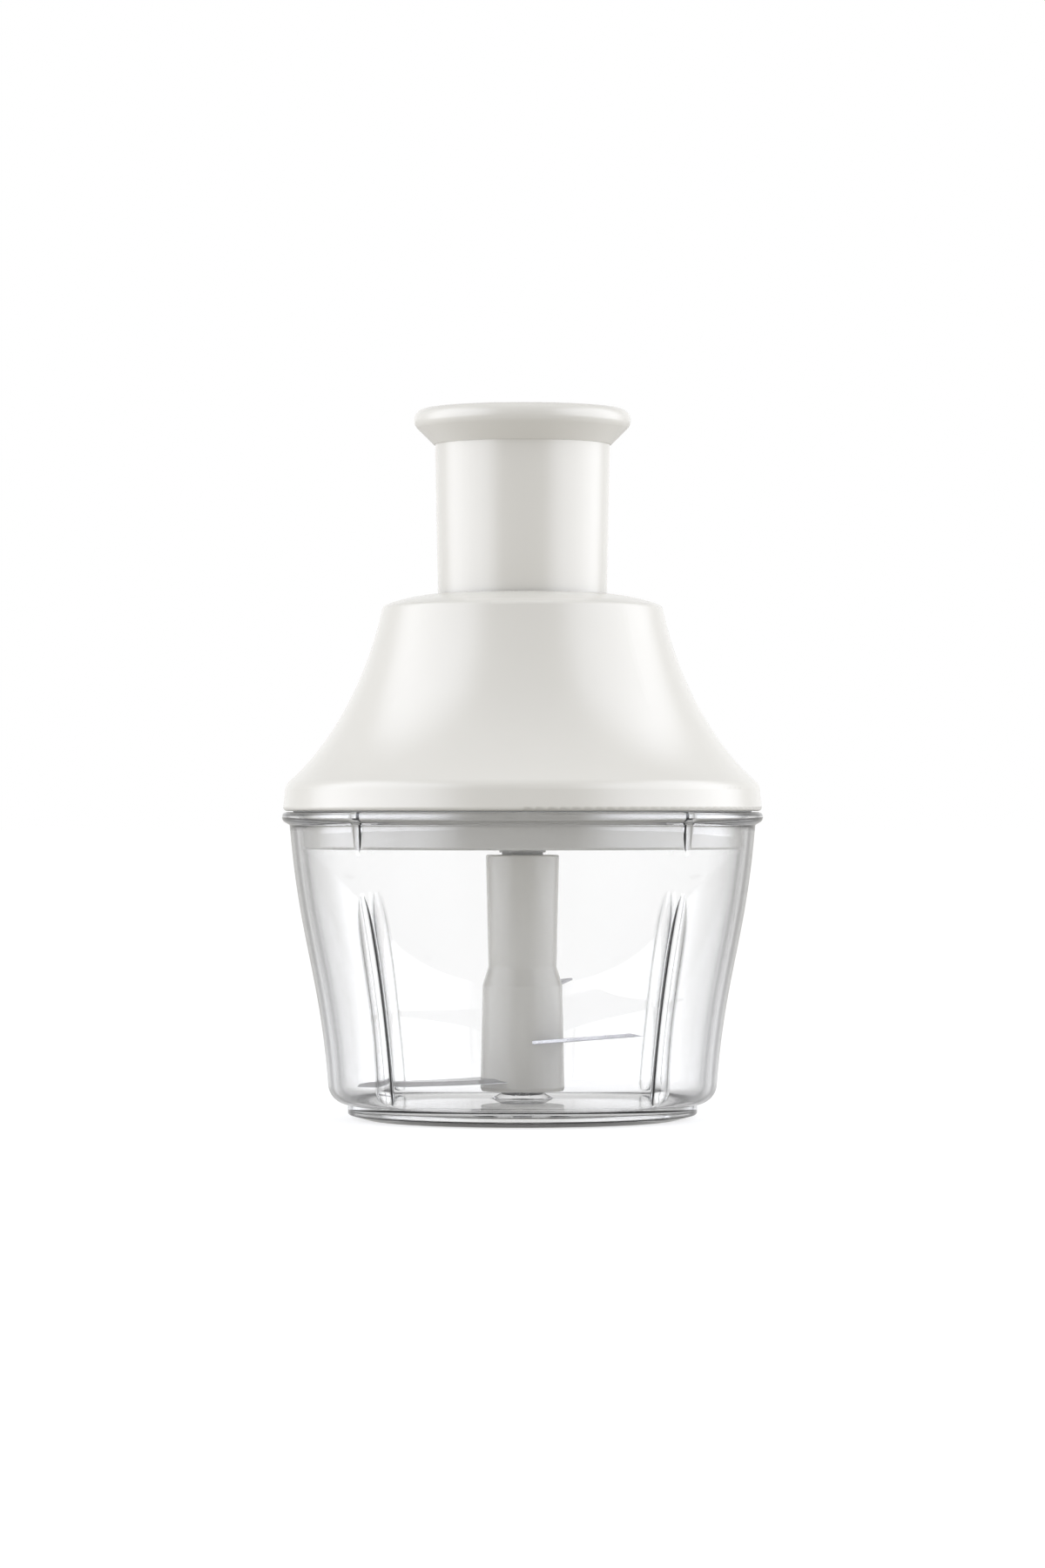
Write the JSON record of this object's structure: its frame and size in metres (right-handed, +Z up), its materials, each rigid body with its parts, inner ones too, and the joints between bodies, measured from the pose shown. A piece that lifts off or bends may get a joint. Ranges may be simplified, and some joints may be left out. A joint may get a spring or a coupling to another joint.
{
  "type": "plunger food chopper",
  "caption": "Hand food chopper: a palm plunger in a bell-shaped lid drives a twisted screw and a ratchet that turn curved blades in a clear bowl.",
  "frame": {"origin": "middle of the bowl's foot, on the surface that the chopper stands on", "axes": "+Z up along the common axis of bowl, blades, lid and plunger; +X to the right and -Y towards the viewer in the picture"},
  "size_m": [0.1242, 0.1242, 0.1834],
  "materials": {
    "clear_plastic": "clear, polished, faintly grey at the edges",
    "white_plastic": "off-white, smooth, softly glossy",
    "natural_plastic": "undyed acetal, satin",
    "blade_steel": "stainless sheet, ground along the cutting edge",
    "bright_steel": "bright drawn or plated steel",
    "bronze": "sintered bronze, oiled",
    "soft_rubber": "translucent grey silicone, matt"
  },
  "bodies": {
    "bowl": {"bowl": "clear_plastic", "pivot_pin": "bright_steel"},
    "blades": {"blade_shaft": "white_plastic", "blade_bush": "natural_plastic", "lower_blade": "blade_steel", "middle_blade": "blade_steel", "upper_blade": "blade_steel"},
    "lid": {"lid_shell": "white_plastic", "lid_plate": "white_plastic", "lid_gasket": "soft_rubber", "plate_screws": "bright_steel", "bearing_carrier": "natural_plastic", "carrier_screws": "bright_steel", "screw_bush": "bronze", "spindle_bush": "natural_plastic", "return_spring": "bright_steel"},
    "spindle": {"output_spindle": "natural_plastic", "thrust_washer": "bright_steel"},
    "screw": {"drive_screw": "natural_plastic", "pawl_wheel": "natural_plastic"},
    "plunger": {"plunger_tube": "white_plastic", "plunger_cap": "white_plastic", "drive_stem": "natural_plastic", "stem_screws": "bright_steel", "drive_nut": "bronze", "nut_retainer": "natural_plastic", "retainer_screws": "bright_steel"}
  },
  "joints": [
    {"name": "lid_lift", "type": "slide", "parent": "bowl", "child": "lid", "axis": [0, 0, 1], "range_m": [0, 0.06]},
    {"name": "plunger_press", "type": "slide", "parent": "lid", "child": "plunger", "axis": [0, 0, -1], "range_m": [0, 0.036], "stiffness_N_per_m": 250, "springref_m": -0.03, "deforming": ["return_spring"]},
    {"name": "screw_turn", "type": "hinge", "parent": "lid", "child": "screw", "pos_m": [0, 0, 0.084], "axis": [0, 0, 1], "range_deg": [0, 360]},
    {"name": "spindle_turn", "type": "hinge", "parent": "lid", "child": "spindle", "pos_m": [0, 0, 0.072], "axis": [0, 0, 1], "continuous": true},
    {"name": "blade_turn", "type": "hinge", "parent": "bowl", "child": "blades", "pos_m": [0, 0, 0.016], "axis": [0, 0, 1], "continuous": true}
  ],
  "couplings": [
    {"joint": "screw_turn", "follows": "plunger_press", "rad_per_m": 174.53},
    {"joint": "spindle_turn", "follows": "plunger_press", "rad_per_m": 174.53},
    {"joint": "blade_turn", "follows": "plunger_press", "rad_per_m": 174.53}
  ]
}
